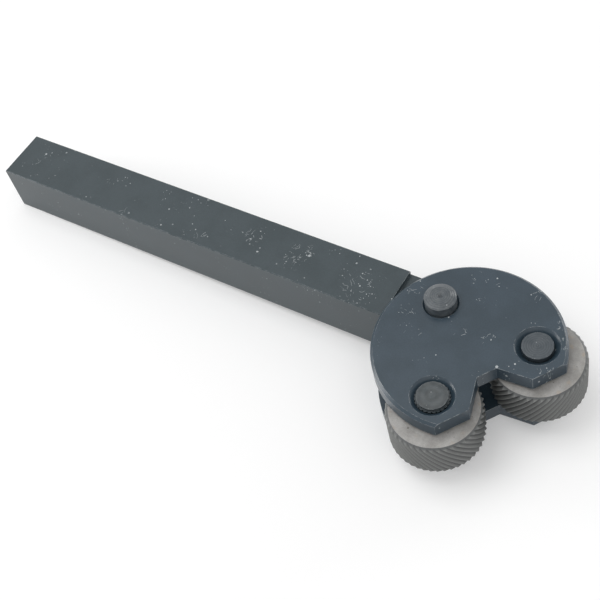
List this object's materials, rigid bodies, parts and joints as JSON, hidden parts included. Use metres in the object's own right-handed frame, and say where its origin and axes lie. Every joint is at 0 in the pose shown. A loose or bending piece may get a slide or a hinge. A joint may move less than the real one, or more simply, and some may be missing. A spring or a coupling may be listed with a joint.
{
  "type": "knurling tool",
  "caption": "Lathe knurling tool: square shank with a swinging head of notched round cheeks that hold opposed diagonal knurl wheels.",
  "frame": {"origin": "centre of the shank's rear end face, on the shank's axis", "axes": "+X along the shank towards the head, +Z parallel to the pins and wheels, +Y to the right as seen when facing the head from in front of it"},
  "size_m": [0.189, 0.0544, 0.026],
  "materials": {
    "shank_steel": "black oxide on machined steel, satin, with worn edges",
    "cheek_steel": "black oxide on turned plate, satin, with worn edges",
    "pin_steel": "hardened steel, turned ends",
    "wheel_steel": "tool steel, ground sides and cut diagonal teeth"
  },
  "bodies": {
    "shank_body": {"shank": "shank_steel"},
    "head": {"upper_cheek": "cheek_steel", "lower_cheek": "cheek_steel", "pivot_pin": "pin_steel", "left_wheel_pin": "pin_steel", "right_wheel_pin": "pin_steel"},
    "left_wheel": {"left_knurl_wheel": "wheel_steel"},
    "right_wheel": {"right_knurl_wheel": "wheel_steel"}
  },
  "joints": [
    {"name": "head_swing", "type": "hinge", "parent": "shank_body", "child": "head", "pos_m": [0.14877, 0, 0], "axis": [0, 0, 1], "range_deg": [-4, 75.2]},
    {"name": "left_wheel_spin", "type": "hinge", "parent": "head", "child": "left_wheel", "pos_m": [0.15946, -0.02561, 0], "axis": [0, 0, 1], "continuous": true},
    {"name": "right_wheel_spin", "type": "hinge", "parent": "head", "child": "right_wheel", "pos_m": [0.17646, -0.00187, 0], "axis": [0, 0, 1], "continuous": true}
  ]
}
